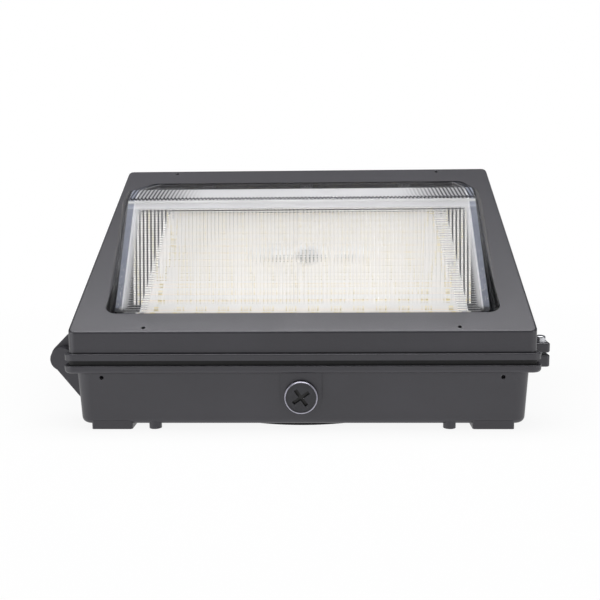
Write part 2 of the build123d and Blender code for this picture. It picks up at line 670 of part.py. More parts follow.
def flutes(far, near):
    """Row of saw-toothed ridges that cut the flutes of one skin, from its far end to its near end."""
    half = lens_half(RIDGE_V, GLASS) - FLUTE_MARGIN
    count = int(half / FLUTE_PITCH)
    left_side = []
    for i in range(count):
        start = (i - count) * FLUTE_PITCH
        left_side += [(start, 0), (start + FLUTE_STEP, FLUTE_DEPTH), (start + FLUTE_FACE, 0)]
    right_side = [(-x, depth) for x, depth in reversed(left_side)]
    end = count * FLUTE_PITCH
    outline = [(-end, -FLUTE_DEPTH)] + left_side + right_side + [(end, -FLUTE_DEPTH)]
    length = hypot(far[0] - near[0], far[1] - near[1])
    run = Plane(
        origin=(0, far[0], far[1]),
        x_dir=(1, 0, 0),
        z_dir=(0, near[0] - far[0], near[1] - far[1]),
    )
    return run * extrude(Polygon(*outline, align=None), length, dir=(0, 0, 1))


def lens():
    foot, ridge, shoulder, toe = lens_profile(GLASS)
    facet = atan2(ridge[1] - foot[1], ridge[0] - foot[0])
    front = atan2(shoulder[1] - toe[1], shoulder[0] - toe[0])
    low = ((0.0, FLUTE_END), 0.0)
    plate = slab(WINDOW_X + 2 * LENS_LAP, WINDOW_Y + 2 * LENS_LAP, LENS_FLANGE, 12, LENS_LOW)
    body = Pos(0, WINDOW_MID, 0) * plate + lens_dome(0) - lens_dome(GLASS)
    body -= flutes(ridge, meet((ridge, facet), low))
    body -= flutes(shoulder, ridge)
    body -= flutes(meet((shoulder, front), low), shoulder)
    return FACE * body


def lens_gasket():
    width = WINDOW_X + 2 * LENS_GASKET_OUT
    length = WINDOW_Y + 2 * LENS_GASKET_OUT
    border = LENS_GASKET_OUT - LENS_GASKET_IN
    ring = frame_ring(width, length, border, LENS_GASKET, WINDOW_CORNER + LENS_GASKET_OUT, LENS_TOP)
    return FACE * (Pos(0, WINDOW_MID, 0) * ring)


def lens_clip():
    """Clip lying under its boss and the lens flange, its hole at the origin and its nose towards +X."""
    reach = CLIP_OUT + CLIP_REACH
    heel = CLIP_BOSS_R + 0.4
    plate = Pos((reach - heel) / 2, 0, 0) * slab(reach + heel, CLIP_X, CLIP_PLATE, 2, -CLIP_PLATE)
    return plate - disc(M3_R + 0.2, 2 * CLIP_PLATE, -1.5 * CLIP_PLATE)


def lens_clips():
    return [FACE * (Pos(x, u, LENS_LOW) * Rot(0, 0, turn) * lens_clip()) for x, u, turn in clip_places()]


def clip_screws():
    screw = Rot(180, 0, 0) * pan_screw(M3_R, CLIP_PLATE + LENS_FLANGE, M3_HEAD_R, M3_HEAD)
    return [FACE * (Pos(x, u, LENS_LOW - CLIP_PLATE) * screw) for x, u, _ in clip_places()]


# ------------------------------------------------------------------ closing screws
def closing_place(low_y):
    """Seat of the washer on the door lug."""
    return Pos(LATCH_X, low_y + LATCH_LENGTH / 2, DOOR_LATCH_TOP)


def closing_washer(low_y):
    return closing_place(low_y) * (disc(WASHER_R, WASHER) - disc(SCREW_R + SCREW_GAP, WASHER))


def closing_screw(low_y):
    length = DOOR_LATCH_TOP + WASHER - LATCH_LOW - SCREW_SHORT
    screw = pan_screw(SCREW_R, length, SCREW_HEAD_R, SCREW_HEAD)
    for turn in (0, 90):
        screw -= Rot(0, 0, turn) * block(RECESS_X, RECESS_Y, 2 * RECESS, SCREW_HEAD - RECESS)
    return closing_place(low_y) * (Pos(0, 0, WASHER) * screw)


# ------------------------------------------------------------------ conduit plugs
def plug_seal():
    return disc(SEAL_R, SEAL) - disc(ENTRY_R, SEAL)


def conduit_plug():
    """Threaded plug with a dished, cross-slotted head, its seal standing on z = 0."""
    top = SEAL + PLUG_HEAD
    head = disc(PLUG_HEAD_R, PLUG_HEAD, SEAL)
    head = chamfer(head.edges().group_by(Axis.Z)[-1], PLUG_CHAMFER)
    shank_r = ENTRY_R - THREAD_GAP
    plug = head + disc(shank_r, PLUG_SHANK + SEAL, -PLUG_SHANK)
    plug -= disc(PLUG_HEAD_R - PLUG_RIM, PLUG_HEAD, top - PLUG_DISH)
    plug -= disc(shank_r - PLUG_WALL, PLUG_SHANK, -PLUG_SHANK)
    for turn in (SLOT_TURN, SLOT_TURN + 90):
        plug -= Rot(0, 0, turn) * block(SLOT_X, SLOT_Y, PLUG_HEAD, top - PLUG_DISH - SLOT_DEPTH)
    return plug


# ------------------------------------------------------------------ light engine
def on_board(x, up, low, solid):
    """Places a solid on the board, up from its near edge and low above its top."""
    return FACE * (Pos(x, BOARD_NEAR + up, low - BOARD_DROP) * solid)


def led_tray():
    """Sheet tray: a sloped deck with side lips, standing on two bent legs."""
    near = tray_corner(BOARD_NEAR - TRAY_MARGIN)
    far = tray_corner(BOARD_FAR + TRAY_MARGIN)
    sole = BOSS_TOP + TRAY / 2
    line = FilletPolyline(
        (near[0] - NEAR_FOOT, sole),
        (near[0], sole),
        near,
        far,
        (far[0], sole),
        (far[0] + FAR_FOOT, sole),
        radius=TRAY_BEND,
    )
    body = sideways(trace(line, TRAY), BOARD_X + 2 * TRAY_MARGIN)
    deck = BOARD_FAR - BOARD_NEAR - 2 * TRAY_BEND
    middle = (BOARD_FAR + BOARD_NEAR) / 2
    for side in (-1, 1):
        x = side * (BOARD_X / 2 + TRAY_MARGIN - TRAY / 2)
        body += FACE * (Pos(x, middle, 0) * block(TRAY, deck, TRAY_LIP, TRAY_LOW + TRAY / 2 - TRAY_LIP))
    for x, y in tray_screw_places():
        body -= Pos(x, y, 0) * disc(M3_R + 0.4, BOSS, BOSS_TOP - 1)
    neck = disc(GROMMET_NECK_R, 2 * TRAY, TRAY_LOW - TRAY / 2)
    return body - FACE * (Pos(CONNECTOR_AT[0], CONNECTOR_U, 0) * neck)


def tray_screws():
    screw = pan_screw(M3_R, TRAY + BOSS - 1, M3_HEAD_R, M3_HEAD)
    return [Pos(x, y, BOSS_TOP + TRAY) * screw for x, y in tray_screw_places()]


def led_board():
    length = BOARD_FAR - BOARD_NEAR
    board = slab(BOARD_X, length, BOARD, 2, BOARD_LOW)
    board = FACE * (Pos(0, (BOARD_FAR + BOARD_NEAR) / 2, 0) * board)
    for x, up in board_screw_places():
        board -= on_board(x, up, -2 * BOARD, disc(M3_R + M3_GAP, 3 * BOARD))
    return board - on_board(CONNECTOR_AT[0], CONNECTOR_AT[1], -2 * BOARD, disc(GROMMET_R + 0.5, 3 * BOARD))


def led_places():
    """(x, distance from the near edge) of each diode, clear of the connector."""
    length = BOARD_FAR - BOARD_NEAR
    columns = int((BOARD_X - 2 * LED_MARGIN) / LED_PITCH_X) + 1
    rows = int((length - 2 * LED_MARGIN) / LED_PITCH_Y) + 1
    first = (length - (rows - 1) * LED_PITCH_Y) / 2
    places = []
    for i in range(columns):
        x = (i - (columns - 1) / 2) * LED_PITCH_X
        for j in range(rows):
            up = first + j * LED_PITCH_Y
            beside = abs(x - CONNECTOR_AT[0]) > (CONNECTOR_X + LED_X) / 2 + 1
            beyond = abs(up - CONNECTOR_AT[1]) > (CONNECTOR_Y + LED_Y) / 2 + 1
            if beside or beyond:
                places.append((x, up))
    return places


def leds():
    return [on_board(x, up, 0, block(LED_X, LED_Y, LED_H)) for x, up in led_places()]


def board_connector():
    """Connector shell over the lead hole, with its row of release windows."""
    shell = slab(CONNECTOR_X, CONNECTOR_Y, CONNECTOR_H, 1, 0)
    for x in (-CONNECTOR_X / 4, 0, CONNECTOR_X / 4):
        shell -= Pos(x, CONNECTOR_Y / 4, 0) * block(CONNECTOR_X / 6, CONNECTOR_Y / 5, 1.5, CONNECTOR_H - 1)
    return on_board(CONNECTOR_AT[0], CONNECTOR_AT[1], 0, shell)


def board_screw_places():
    length = BOARD_FAR - BOARD_NEAR
    edge = LED_PITCH_X / 2
    x = BOARD_X / 2 - M3_HEAD_R - 0.7
    return [(sx * x, up) for sx in (-1, 1) for up in (edge, length / 2, length - edge)]


def board_screws():
    head = pan_screw(M3_R, BOARD, M3_HEAD_R, M3_HEAD / 2)
    return [on_board(x, up, 0, head) for x, up in board_screw_places()]


def lead_grommet():
    """Bush snapped into the tray under the connector."""
    bush = disc(GROMMET_R, GROMMET_LIP, TRAY_LOW - GROMMET_LIP)
    bush += disc(GROMMET_NECK_R, TRAY, TRAY_LOW)
    bush += disc(GROMMET_R, GROMMET_LIP, BOARD_LOW)
    bush -= disc(GROMMET_BORE_R, TRAY + 3 * GROMMET_LIP, TRAY_LOW - GROMMET_LIP)
    return FACE * (Pos(CONNECTOR_AT[0], CONNECTOR_U, 0) * bush)


# ------------------------------------------------------------------ driver and wiring
def driver_case():
    base_x = DRIVER_X + 2 * (DRIVER_CAP + DRIVER_EAR)
    base = slab(base_x, DRIVER_Y, DRIVER_BASE, 3, BOSS_TOP)
    cover = block(DRIVER_X, DRIVER_Y, DRIVER_H, BOSS_TOP)
    cover = fillet(cover.edges().filter_by(Axis.X).group_by(Axis.Z)[-1], 3)
    case = Pos(0, DRIVER_MID, 0) * (base + cover)
    for x, y in driver_screw_places():
        case -= Pos(x, y, 0) * disc(M3_R + 0.4, 2 * DRIVER_BASE, BOSS_TOP - 1)
    return case


def lead_heights():
    """Heights of the supply and output bushes above the back panel."""
    return BOSS_TOP + 0.21 * DRIVER_H, BOSS_TOP + 0.42 * DRIVER_H


def bush_places():
    """(x direction, y, z) of each lead's bush in the driver's end caps."""
    low, high = lead_heights()
    supply = [(-1, DRIVER_MID - SUPPLY_BUSH_LOW - i * SUPPLY_BUSH_PITCH, low) for i in (0, 1)]
    output = [(1, DRIVER_MID - OUTPUT_BUSH_LOW + i * OUTPUT_BUSH_PITCH, high) for i in (0, 1)]
    return supply + output


def driver_caps():
    caps = []
    for side in (-1, 1):
        cap = block(DRIVER_CAP, DRIVER_Y, DRIVER_H - DRIVER_BASE, BOSS_TOP + DRIVER_BASE)
        cap = fillet(cap.edges().filter_by(Axis.X).group_by(Axis.Z)[-1], 3)
        cap = Pos(side * (DRIVER_X + DRIVER_CAP) / 2, DRIVER_MID, 0) * cap
        for toward, y, z in bush_places():
            if toward == side:
                out = Plane(origin=(side * DRIVER_END, y, z), z_dir=(side, 0, 0))
                cap += out * disc(DRIVER_BUSH_R, DRIVER_BUSH + 1, -1)
        caps.append(cap)
    return caps


def driver_screws():
    screw = pan_screw(M3_R, DRIVER_BASE + BOSS - 1, M3_HEAD_R, M3_HEAD)
    return [Pos(x, y, BOSS_TOP + DRIVER_BASE) * screw for x, y in driver_screw_places()]


def terminal_block():
    """Three-way block with a row of clamp wells along its top."""
    body = slab(TERMINAL_X, TERMINAL_Y, TERMINAL_H, 1, BOSS_TOP)
    body = Pos(TERMINAL_AT[0], TERMINAL_AT[1], 0) * body
    for i in (-1, 0, 1):
        x = TERMINAL_AT[0] + i * TERMINAL_PORT
        for side in (-1, 1):
            y = TERMINAL_AT[1] + side * TERMINAL_Y / 4
            body -= Pos(x, y, 0) * disc(TERMINAL_WELL_R, TERMINAL_H, BOSS_TOP + 0.75 * TERMINAL_H)
    for x, y in terminal_screw_places():
        body -= Pos(x, y, 0) * disc(M3_R + 0.4, TERMINAL_H, BOSS_TOP)
        body -= Pos(x, y, 0) * disc(M3_HEAD_R + 0.3, TERMINAL_H, BOSS_TOP + TERMINAL_SEAT)
    return body


def terminal_screws():
    screw = pan_screw(M3_R, TERMINAL_SEAT + BOSS - 1, M3_HEAD_R, M3_HEAD)
    return [Pos(x, y, BOSS_TOP + TERMINAL_SEAT) * screw for x, y in terminal_screw_places()]


def ground_screw():
    """Hexagon-headed screw over the ring terminal."""
    seat = BOSS_TOP + RING_TERMINAL
    head = extrude(RegularPolygon(RING_TERMINAL_R, 6), 3)
    screw = head + disc(BOSS_BORE - 0.1, BOSS, -BOSS)
    return Pos(GROUND_AT[0], GROUND_AT[1], seat) * screw


def ring_terminal():
    """Ring under the ground screw with its crimped barrel."""
    tongue = Pos(BARREL_END / 2, 0, 0) * block(BARREL_END, 2 * BARREL_R, RING_TERMINAL)
    ring = disc(RING_TERMINAL_R, RING_TERMINAL) + tongue - disc(BOSS_BORE, RING_TERMINAL)
    start = Plane(origin=(BARREL_START + 1, 0, BARREL_R), z_dir=(1, 0, 0))
    barrel = start * disc(BARREL_R, BARREL_END - BARREL_START - 1)
    barrel -= start * disc(LEAD_R, BARREL_END, BARREL_END - BARREL_START - 3)
    placed = Pos(GROUND_AT[0], GROUND_AT[1], BOSS_TOP) * Rot(0, 0, GROUND_TURN)
    return placed * (ring + barrel)


def port(i):
    """Where a lead leaves the terminal block, on its side towards the driver."""
    x = TERMINAL_AT[0] + i * TERMINAL_PORT
    return x, TERMINAL_AT[1] + TERMINAL_Y / 2, lead_heights()[0]


def line_lead():
    x, y, z = port(-1)
    _, bush_y, _ = bush_places()[0]
    end = -DRIVER_END - DRIVER_BUSH
    run, turn = y + LINE_RUN, end - LINE_TURN
    return lead([(x, y, z), (x, run, z), (turn, run, z), (turn, bush_y, z), (end, bush_y, z)])


def neutral_lead():
    x, y, z = port(0)
    _, bush_y, _ = bush_places()[1]
    end = -DRIVER_END - DRIVER_BUSH
    run, turn = y + NEUTRAL_RUN, end - NEUTRAL_TURN
    return lead([(x, y, z), (x, run, z), (turn, run, z), (turn, bush_y, z), (end, bush_y, z)])


def ground_lead():
    x, y, z = port(1)
    turn = radians(GROUND_TURN)
    height = BOSS_TOP + BARREL_R
    away = [
        (GROUND_AT[0] + d * cos(turn), GROUND_AT[1] + d * sin(turn), height)
        for d in (BARREL_END - BARREL_R, BARREL_END + GROUND_TAIL)
    ]
    return lead([
        (x, y, z),
        (x, y + GROUND_RUN, z),
        (x + GROUND_STEP, y + GROUND_RUN + GROUND_CREST, z - GROUND_SAG),
        (x + 2 * GROUND_STEP, y + GROUND_RUN, z - 2 * GROUND_SAG),
        away[1],
        away[0],
    ])


def output_lead(bush, dx, drop):
    """Rises from the driver's right end to the grommet under the board."""
    _, y, z = bush
    x = CONNECTOR_AT[0] + dx
    start = DRIVER_END + DRIVER_BUSH
    turn = start + OUTPUT_RUN
    crest = z + OUTPUT_LOOP + OUTPUT_CREST
    back = turn - OUTPUT_BACK
    end = face_point(CONNECTOR_U, -BOARD_DROP)
    under = face_point(CONNECTOR_U, -BOARD_DROP - drop)
    return lead([
        (start, y, z),
        (turn, y, z),
        (turn, y, z + OUTPUT_LOOP),
        (back, y, crest),
        (back - OUTPUT_REACH, y - LEAD_R, crest + OUTPUT_CLIMB),
        (x, under[0], under[1]),
        (x, end[0], end[1]),
    ])


# ------------------------------------------------------------------ assembly
def write(name, pieces):
    """Stands the pieces up against the wall and saves them as one sub-part."""
    upright = [Rot(90, 0, 0) * piece for piece in pieces]
    shape = upright[0] if len(upright) == 1 else Compound(upright)
    export_step(shape, os.path.join("parts", name + ".step"))


def main():
    os.makedirs("parts", exist_ok=True)
    write("back_housing", [back_housing()])
    write("wall_gasket", [wall_gasket()])
    write("door_gasket", [door_gasket()])
    write("hinge_pins", [hinge_pin(low_y) for low_y in LUG_Y])
    write("hinge_clips", [hinge_clip(low_y) for low_y in LUG_Y])
    write("led_tray", [led_tray()])
    write("tray_screws", tray_screws())
    write("led_board", [led_board()])
    write("board_screws", board_screws())
    write("leds", leds())
    write("board_connector", [board_connector()])
    write("lead_grommet", [lead_grommet()])
    write("driver_case", [driver_case()])
    write("driver_caps", driver_caps())
    write("driver_screws", driver_screws())
    write("terminal_block", [terminal_block()])
    write("terminal_screws", terminal_screws())
    write("ground_screw", [ground_screw()])
    write("ring_terminal", [ring_terminal()])
    write("line_lead", [line_lead()])
    write("neutral_lead", [neutral_lead()])
    write("ground_lead", [ground_lead()])
    write("output_lead_plus", [output_lead(bush_places()[2], OUTPUT_SPLIT, PLUS_DROP)])
    write("output_lead_minus", [output_lead(bush_places()[3], -OUTPUT_SPLIT, MINUS_DROP)])
    write("door_frame", [door_frame()])
    write("lens", [lens()])
    write("lens_gasket", [lens_gasket()])
    write("lens_clips", lens_clips())
    write("clip_screws", clip_screws())
    for place, low_y in zip(("lower", "upper"), LUG_Y):
        write("closing_washer_" + place, [closing_washer(low_y)])
        write("closing_screw_" + place, [closing_screw(low_y)])
    for place, plane in entry_planes().items():
        write("plug_seal_" + place, [plane * plug_seal()])
        write("conduit_plug_" + place, [plane * conduit_plug()])


if __name__ == "__main__":
    main()
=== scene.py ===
import json
import math

import bpy
from mathutils import Matrix, Vector

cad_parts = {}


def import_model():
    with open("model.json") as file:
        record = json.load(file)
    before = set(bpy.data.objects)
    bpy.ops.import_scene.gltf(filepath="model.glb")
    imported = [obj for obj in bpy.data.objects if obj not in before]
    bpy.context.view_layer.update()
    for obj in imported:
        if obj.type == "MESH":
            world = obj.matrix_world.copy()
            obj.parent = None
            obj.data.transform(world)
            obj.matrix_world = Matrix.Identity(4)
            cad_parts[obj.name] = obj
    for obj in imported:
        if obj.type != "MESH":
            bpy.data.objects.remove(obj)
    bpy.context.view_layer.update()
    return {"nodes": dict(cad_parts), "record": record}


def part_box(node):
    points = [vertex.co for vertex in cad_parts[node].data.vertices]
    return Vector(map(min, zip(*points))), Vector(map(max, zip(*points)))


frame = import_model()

# Sizes are in metres. On the sloped face x runs across, u up from its lower edge and v out of it.
SLOPE = math.radians(28.0)
FACE_SHIFT = (0.0, 0.121446, 0.065671)      # makes the turned coordinates x, -v and u
FACET = math.radians(54.08)         # lower facet of the lens against the face
FACET_FOOT = 0.0249                 # its foot, along u
RIDGE_U = 0.0756
ARRIS = 0.1451                      # half width of the lens to its milky arris, at v = 0
DRAFT = 0.1608                      # narrowing of the arris with v
FLUTE = 0.0029                      # pitch of the flutes, across x
FLUTE_FLAT = 0.00065                # middle of a flute's flat
CROSS_RIB = 0.0018                  # pitch of the ribs up the facet
LED_ROW = 0.0113                    # pitch of the board's rows
FIRST_ROW = 0.038596                # lowest row, along u

# Marks on the glass: where each place begins to show and where it is full.
# Across it, from the arris and negative towards the middle:
OUTSIDE = (-0.0004, 0.0002)
ARRIS_INNER = (-0.0056, -0.0048)
GLOW_INNER = (-0.0125, -0.0060)
GLOW_OUTER = (-0.0046, -0.0056)
FACET_ENDS = (-0.0060, -0.0080)
RIPPLE_ENDS = (-0.0380, -0.0560)
STRIP_RIB_ENDS = (-0.0600, -0.0200)
DOTS_INNER = (-0.0260, -0.0230)
# Along u, from the ridge:
BEFORE_RIDGE = (0.0006, -0.0002)
BEHIND_RIDGE = (0.0004, 0.0012)
RIDGE_HIGHLIGHT = (-0.0017, -0.0009)
# Along u, from the face's lower edge:
GLINT_REACH = (0.060, 0.030)
FRONT = (0.0950, 0.1010)
# Along v:
FOOT = (0.0, 0.004)
CREST = (0.0640, 0.0656)
STRIP = (0.0620, 0.0640)

# Painted highlights of the glass, on its outer edge and inside the arris: middle and half width,
# from the arris
OUTLINE = (-0.0004, 0.0007)
EDGE_HIGHLIGHT = (-0.0056, 0.0011)
SKIN_HALF = 0.0016                  # reach of the facet's outer skin
SAW_U = RIDGE_U + 0.0032            # painted shade: dark saw-toothed line along the strip
SAW_DEPTH = 0.0010
SAW_HALF = 0.0022

# Grid of grey pip marks in the middle of the facet, a painted image of the connector seen through
# the flutes
PIPS_X = 0.0050
PIPS_CLIMB = 0.0576
PIPS_HALF_X = 0.0080
PIPS_HALF_CLIMB = 0.0054
PIPS_PHASE = 0.0004

# How pale each place of the glass is
OUTLINE_PALE = 0.40
GLOW_PALE = 0.62
CREST_PALE = 0.90
STRIP_PALE = 0.72
DOTS_PALE = 0.40
LIT_THROUGH = 0.60                  # share of a pale place that light passes through
FRONT_CLEAR = 0.75
OUTSIDE_CLEAR = 0.85
RIPPLE_LEAN = 0.20
RIB_LEAN = 0.05
STRIP_SLANT = 0.12                  # lean of the strip's ribs with u
DOTS_SLANT = 0.15                   # lean of the dots' inner edge with v

# Conduit plugs: radius and depth marks of the painted highlight on the rim and of the painted
# shade in the cross slot
PLUG_HIGHLIGHT_WOBBLE = 0.0008
PLUG_RIM_HIGHLIGHT_R = (0.0118, 0.0124)
PLUG_RIM_HIGHLIGHT_DEPTH = (0.0014, 0.0009)
PLUG_SLOT_SHADE_R = (0.0092, 0.0084)
PLUG_SLOT_SHADE_DEPTH = (0.0006, 0.0012)

WALL_HALF = 3.0
WALL_Y = 0.0006
WHITE = (1.0, 1.0, 1.0, 1.0)
SKY = (0.95, 0.97, 1.0, 1.0)
SKY_STRENGTH = 0.20
LAMPS = (                           # name, place, aim, size, watts
    ("overhead", (0.0, -1.32, -0.05), (0.0, -0.1, 0.0), (1.7, 0.9), 20.0),
    ("left", (-1.3, -0.30, -0.75), (0.0, -0.05, -0.1), (0.5, 0.4), 4.5),
    ("right", (1.3, -0.35, -0.85), (0.0, -0.05, -0.1), (0.5, 0.4), 2.5),
)
CAMERA_PLACE = (0.0206, -0.1930, -0.7555)
CAMERA_TURN = (-1.857, 8.219, -0.526)       # yaw, pitch and roll in degrees
SENSOR = 36.0
FOCAL_SHARE = 870.0 / 600.0         # focal length over the picture's width


# ------------------------------------------------------------------ shader helpers
class Shader:
    """One node-based material and its principled shader."""

    def __init__(self, name):
        self.mat = bpy.data.materials.new(name)
        self.mat.use_nodes = True
        self.tree = self.mat.node_tree
        self.bsdf = self.tree.nodes["Principled BSDF"]
        self.out = self.tree.nodes["Material Output"]
        self.coords = self.tree.nodes.new("ShaderNodeTexCoord").outputs["Object"]

    def add(self, kind, operation=None, **values):
        node = self.tree.nodes.new("ShaderNode" + kind)
        if operation:
            node.operation = operation
        for key, value in values.items():
            node.inputs[key.replace("_", " ")].default_value = value
        return node

    def link(self, a, b):
        self.tree.links.new(a, b)

    def feed(self, value, socket):
        """Links an output to the socket, or sets a number or a colour on it."""
        if isinstance(value, bpy.types.NodeSocket):
            self.link(value, socket)
        else:
            socket.default_value = (*value, 1.0) if isinstance(value, tuple) else value

    def put(self, **values):
        for key, value in values.items():
            self.bsdf.inputs[key.replace("_", " ")].default_value = value

    def paint(self, **outputs):
        for key, output in outputs.items():
            self.link(output, self.bsdf.inputs[key.replace("_", " ")])

    def mapped(self, **values):
        node = self.add("Mapping", **values)
        self.link(self.coords, node.inputs["Vector"])
        return node.outputs["Vector"]

    def noise(self, scale, detail=3.0, rough=0.5, vector=None, distortion=0.0):
        node = self.add(
            "TexNoise", Scale=scale, Detail=detail, Roughness=rough, Distortion=distortion
        )
        self.link(vector or self.coords, node.inputs["Vector"])
        return node.outputs["Fac"]

    def ramp(self, value, low, high):
        """Two colours, each given with its place."""
        node = self.add("ValToRGB")
        for element, (place, colour) in zip(node.color_ramp.elements, (low, high)):
            element.position = place
            element.color = (*colour, 1.0)
        self.link(value, node.inputs["Fac"])
        return node.outputs["Color"]

    def between(self, value, low, high):
        node = self.add("MapRange", To_Min=low, To_Max=high)
        self.link(value, node.inputs["Value"])
        return node.outputs["Result"]

    def step(self, value, zero, one):
        """Smooth rise from 0 to 1 as the value goes from one mark to the other."""
        node = self.add("MapRange", From_Min=zero, From_Max=one)
        node.interpolation_type = "SMOOTHSTEP"
        self.link(value, node.inputs["Value"])
        return node.outputs["Result"]

    def math(self, operation, *values):
        node = self.add("Math", operation)
        for value, socket in zip(values, node.inputs):
            self.feed(value, socket)
        return node.outputs[0]

    def times(self, value, *others):
        for other in others:
            value = self.math("MULTIPLY", value, other)
        return value

    def most(self, value, *others):
        for other in others:
            value = self.math("MAXIMUM", value, other)
        return value

    def band(self, value, middle, half):
        """1 in the middle of a band, 0 beyond its half width."""
        away = self.math("ABSOLUTE", self.math("SUBTRACT", value, middle))
        return self.step(away, half, half * 0.4)

    def wave(self, value, pitch):
        """Sine of the value with the given pitch, from -1 to 1."""
        return self.math("SINE", self.math("MULTIPLY", value, 2.0 * math.pi / pitch))

    def axes(self, vector):
        node = self.add("SeparateXYZ")
        self.link(vector, node.inputs["Vector"])
        return node.outputs

    def push(self, normal, amount, way):
        """The normal leaned towards a fixed direction by an amount."""
        scaled = self.add("VectorMath", "SCALE")
        scaled.inputs[0].default_value = way
        self.link(amount, scaled.inputs["Scale"])
        both = self.add("VectorMath", "ADD")
        self.link(normal, both.inputs[0])
        self.link(scaled.outputs["Vector"], both.inputs[1])
        unit = self.add("VectorMath", "NORMALIZE")
        self.link(both.outputs["Vector"], unit.inputs[0])
        return unit.outputs["Vector"]

    def mix(self, factor, a, b):
        """Colour between a and b."""
        node = self.add("Mix")
        node.data_type = "RGBA"
        self.link(factor, node.inputs["Factor"])
        self.feed(a, node.inputs[6])
        self.feed(b, node.inputs[7])
        return node.outputs[2]

    def blend(self, factor, a, b):
        """Shader between a and b."""
        node = self.add("MixShader")
        self.feed(factor, node.inputs["Fac"])
        self.link(a, node.inputs[1])
        self.link(b, node.inputs[2])
        return node.outputs["Shader"]

    def bump(self, height, distance, after=None):
        node = self.add("Bump", Distance=distance, Strength=1.0)
        self.link(height, node.inputs["Height"])
        if after is not None:
            self.link(after, node.inputs["Normal"])
        return node.outputs["Normal"]


def srgb(*channels):
    return tuple(
        c / 255 / 12.92 if c <= 10 else ((c / 255 + 0.055) / 1.055) ** 2.4 for c in channels
    )


def face_axes(s):
    """x, -v and u of the sloped face."""
    return s.axes(s.mapped(Rotation=(-SLOPE, 0.0, 0.0), Location=FACE_SHIFT))


# ------------------------------------------------------------------ finishes
def speckled(name, dark, light, roughness, grain, bump):
    """Finish with a fine grain: two tones of one colour, uneven gloss and a shallow bump."""
    s = Shader(name)
    cloud = s.noise(18.0, 4.0, 0.6)
    fine = s.noise(grain, 2.0, 0.6)
    s.paint(
        Base_Color=s.mix(s.times(s.math("ADD", cloud, fine), 0.5), dark, light),
        Roughness=s.between(cloud, roughness - 0.08, roughness + 0.08),
        Normal=s.bump(fine, bump),
    )
    return s.mat


def plastic(name, colour, roughness=0.45, grain=900.0):
    return speckled(name, tuple(c * 0.9 for c in colour), colour, roughness, grain, 0.00002)


def powder_coat():
    """Satin graphite powder coat with its fine orange peel."""
    s = Shader("graphite_powder_coat")
    cloud = s.noise(9.0, 5.0, 0.6)
    peel = s.noise(620.0, 2.0, 0.45)
    grain = s.noise(2600.0, 1.0, 0.5)
    s.paint(
        Base_Color=s.ramp(cloud, (0.35, srgb(40, 39, 43)), (0.68, srgb(48, 47, 52))),
        Roughness=s.between(grain, 0.34, 0.46),
        Normal=s.bump(grain, 0.00002, after=s.bump(peel, 0.00006)),
    )
    s.put(Specular_IOR_Level=0.85, Specular_Tint=(0.96, 0.95, 1.0, 1.0))
    return s.mat


def turned_metal(name, tone, roughness, rings):
    """Bright turned metal with faint tool rings."""
    s = Shader(name)
    fine = s.noise(rings, 2.0, 0.6, s.mapped(Scale=(1.0, 9.0, 1.0)))
    cloud = s.noise(60.0, 3.0, 0.6)
    s.paint(
        Base_Color=s.mix(cloud, tuple(c * 0.86 for c in tone), tone),
        Roughness=s.between(fine, roughness - 0.06, roughness + 0.1),
        Normal=s.bump(fine, 0.00002),
    )
    s.put(Metallic=1.0)
    return s.mat


def cast_plug(node):
    """Dark coated cast plug, with a painted highlight, a pale metallic ring round its rim, and
    painted shade, its cross slot painted near black inside.
    """
    low, high = (Vector(corner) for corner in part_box(node))
    middle = (low + high) / 2.0
    span = high - low
    axis = min(range(3), key=lambda i: span[i])
    outward = -1.0 if middle[axis] < 0.0 else 1.0
    s = Shader("cast_" + node)
    parts = s.axes(s.mapped(Location=-middle))
    squares = [s.times(parts[i], parts[i]) for i in range(3) if i != axis]
    radius = s.math("SQRT", s.math("ADD", *squares))
    depth = s.math("SUBTRACT", span[axis] / 2.0, s.times(parts[axis], outward))
    cloud = s.noise(260.0, 4.0, 0.6)
    pits = s.noise(1500.0, 2.0, 0.6)
    # painted highlight: a pale metallic ring round the rim, its inner edge made uneven by noise
    highlight_reach = s.step(s.math("ADD", radius, s.times(cloud, PLUG_HIGHLIGHT_WOBBLE)), *PLUG_RIM_HIGHLIGHT_R)
    rim = s.times(highlight_reach, s.step(depth, *PLUG_RIM_HIGHLIGHT_DEPTH))
    # painted shade: the cross slot painted near black below its top
    slot = s.times(s.step(radius, *PLUG_SLOT_SHADE_R), s.step(depth, *PLUG_SLOT_SHADE_DEPTH))
    coat = s.ramp(cloud, (0.3, srgb(40, 40, 44)), (0.7, srgb(52, 52, 57)))
    s.paint(
        Base_Color=s.mix(slot, s.mix(rim, coat, srgb(190, 188, 202)), srgb(10, 10, 11)),
        Metallic=s.times(rim, 0.85),
        Roughness=s.between(cloud, 0.32, 0.48),
        Normal=s.bump(pits, 0.00004),
    )
    return s.mat


def board():
    """White solder mask: faint warm copper rows, with thin grey gaps between them."""
    s = Shader("white_solder_mask")
    u = face_axes(s)[2]
    rows, gaps = (
        s.math("FRACT", s.math("MULTIPLY_ADD", u, 1.0 / LED_ROW, start - FIRST_ROW / LED_ROW))
        for start in (0.5, 1.0)
    )
    patches = s.noise(26.0, 3.0, 0.6, s.mapped(Scale=(0.25, 1.0, 1.0)))
    warm = s.times(s.band(rows, 0.5, 0.13), s.between(patches, 0.2, 1.0))
    grey = s.times(s.band(gaps, 0.5, 0.05), s.between(patches, 0.7, 0.2))
    tone = s.mix(patches, srgb(224, 221, 215), srgb(232, 229, 224))
    tone = s.mix(warm, tone, srgb(241, 223, 200))
    s.paint(
        Base_Color=s.mix(grey, tone, srgb(204, 204, 207)),
        Roughness=s.between(s.noise(300.0), 0.36, 0.50),
        Normal=s.bump(s.noise(900.0), 0.00002),
    )
    return s.mat


